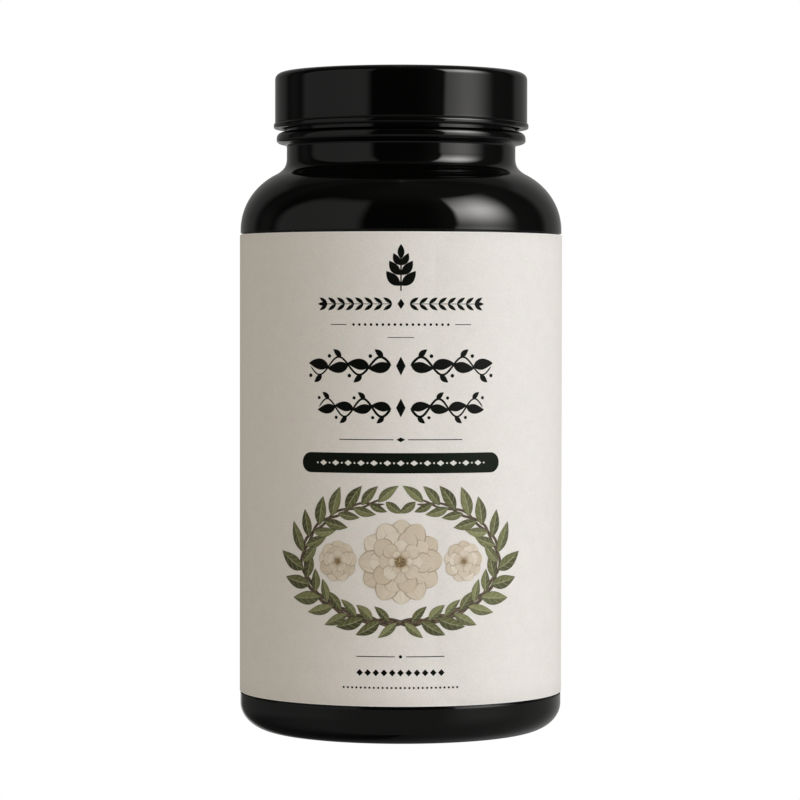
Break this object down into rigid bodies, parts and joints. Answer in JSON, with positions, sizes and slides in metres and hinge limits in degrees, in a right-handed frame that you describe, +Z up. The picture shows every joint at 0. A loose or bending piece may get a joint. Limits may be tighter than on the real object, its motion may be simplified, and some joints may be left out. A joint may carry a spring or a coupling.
{
  "type": "supplement bottle with screw cap",
  "caption": "Glossy round plastic bottle with a rounded shoulder, a short beaded neck, a smooth lined screw cap and a wrap-round paper label.",
  "frame": {"origin": "centre of the standing ring, on the surface that the bottle stands on", "axes": "+Z up along the bottle's axis, -Y towards the middle of the label's front"},
  "size_m": [0.0602, 0.0602, 0.1229],
  "materials": {
    "bottle_plastic": "glossy black, blow moulded",
    "cap_plastic": "glossy black, injection moulded",
    "liner_foam": "white foamed plastic",
    "label_paper": "uncoated cream paper with fine grain"
  },
  "bodies": {
    "bottle": {"bottle": "bottle_plastic", "label": "label_paper"},
    "liner": {"liner": "liner_foam"},
    "cap": {"cap": "cap_plastic"}
  },
  "joints": [
    {"name": "cap_rise", "type": "slide", "parent": "bottle", "child": "liner", "axis": [0, 0, 1], "range_m": [0, 0.00423]},
    {"name": "cap_turn", "type": "hinge", "parent": "liner", "child": "cap", "pos_m": [0, 0, 0.11239], "axis": [0, 0, 1], "range_deg": [0, 360]}
  ],
  "couplings": [
    {"joint": "cap_rise", "follows": "cap_turn", "m_per_rad": 0.00067376}
  ]
}
